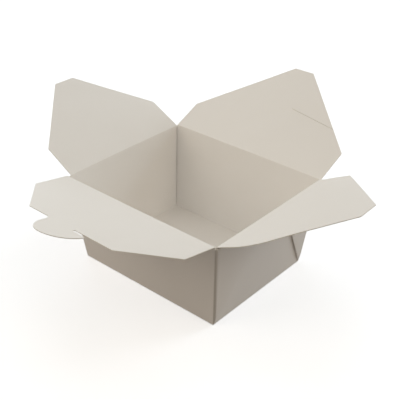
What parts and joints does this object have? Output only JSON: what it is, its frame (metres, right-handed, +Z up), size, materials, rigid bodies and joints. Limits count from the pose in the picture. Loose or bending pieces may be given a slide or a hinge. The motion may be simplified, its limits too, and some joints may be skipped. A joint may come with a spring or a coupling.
{
  "type": "takeout food box",
  "caption": "Folded paperboard takeout box with sloping walls, glued outside gussets, and hinged lid flaps with a hooked tab and a slit.",
  "frame": {"origin": "centre of the underside of the base, on the surface that the box stands on", "axes": "+Z up out of the mouth; +X towards the right side flap; -Y towards the flap with the locking tab"},
  "size_m": [0.2475, 0.2431, 0.1013],
  "materials": {
    "board": "clay-coated white paperboard, soft satin"
  },
  "bodies": {
    "tray": {"folded_tray": "board"},
    "tab_flap": {"tab_flap": "board"},
    "slot_flap": {"slot_flap": "board"},
    "left_side_flap": {"left_side_flap": "board"},
    "right_side_flap": {"right_side_flap": "board"}
  },
  "joints": [
    {"name": "left_crease", "type": "hinge", "parent": "tray", "child": "left_side_flap", "pos_m": [-0.06171, 0, 0.0628], "axis": [0, 1, 0], "range_deg": [-49, 152.2]},
    {"name": "right_crease", "type": "hinge", "parent": "tray", "child": "right_side_flap", "pos_m": [0.06171, 0, 0.0628], "axis": [0, -1, 0], "range_deg": [-43, 157]},
    {"name": "slot_crease", "type": "hinge", "parent": "tray", "child": "slot_flap", "pos_m": [0, 0.05277, 0.0635], "axis": [1, 0, 0], "range_deg": [-53, 152]},
    {"name": "tab_crease", "type": "hinge", "parent": "tray", "child": "tab_flap", "pos_m": [0, -0.05277, 0.0635], "axis": [-1, 0, 0], "range_deg": [-36, 167]}
  ]
}
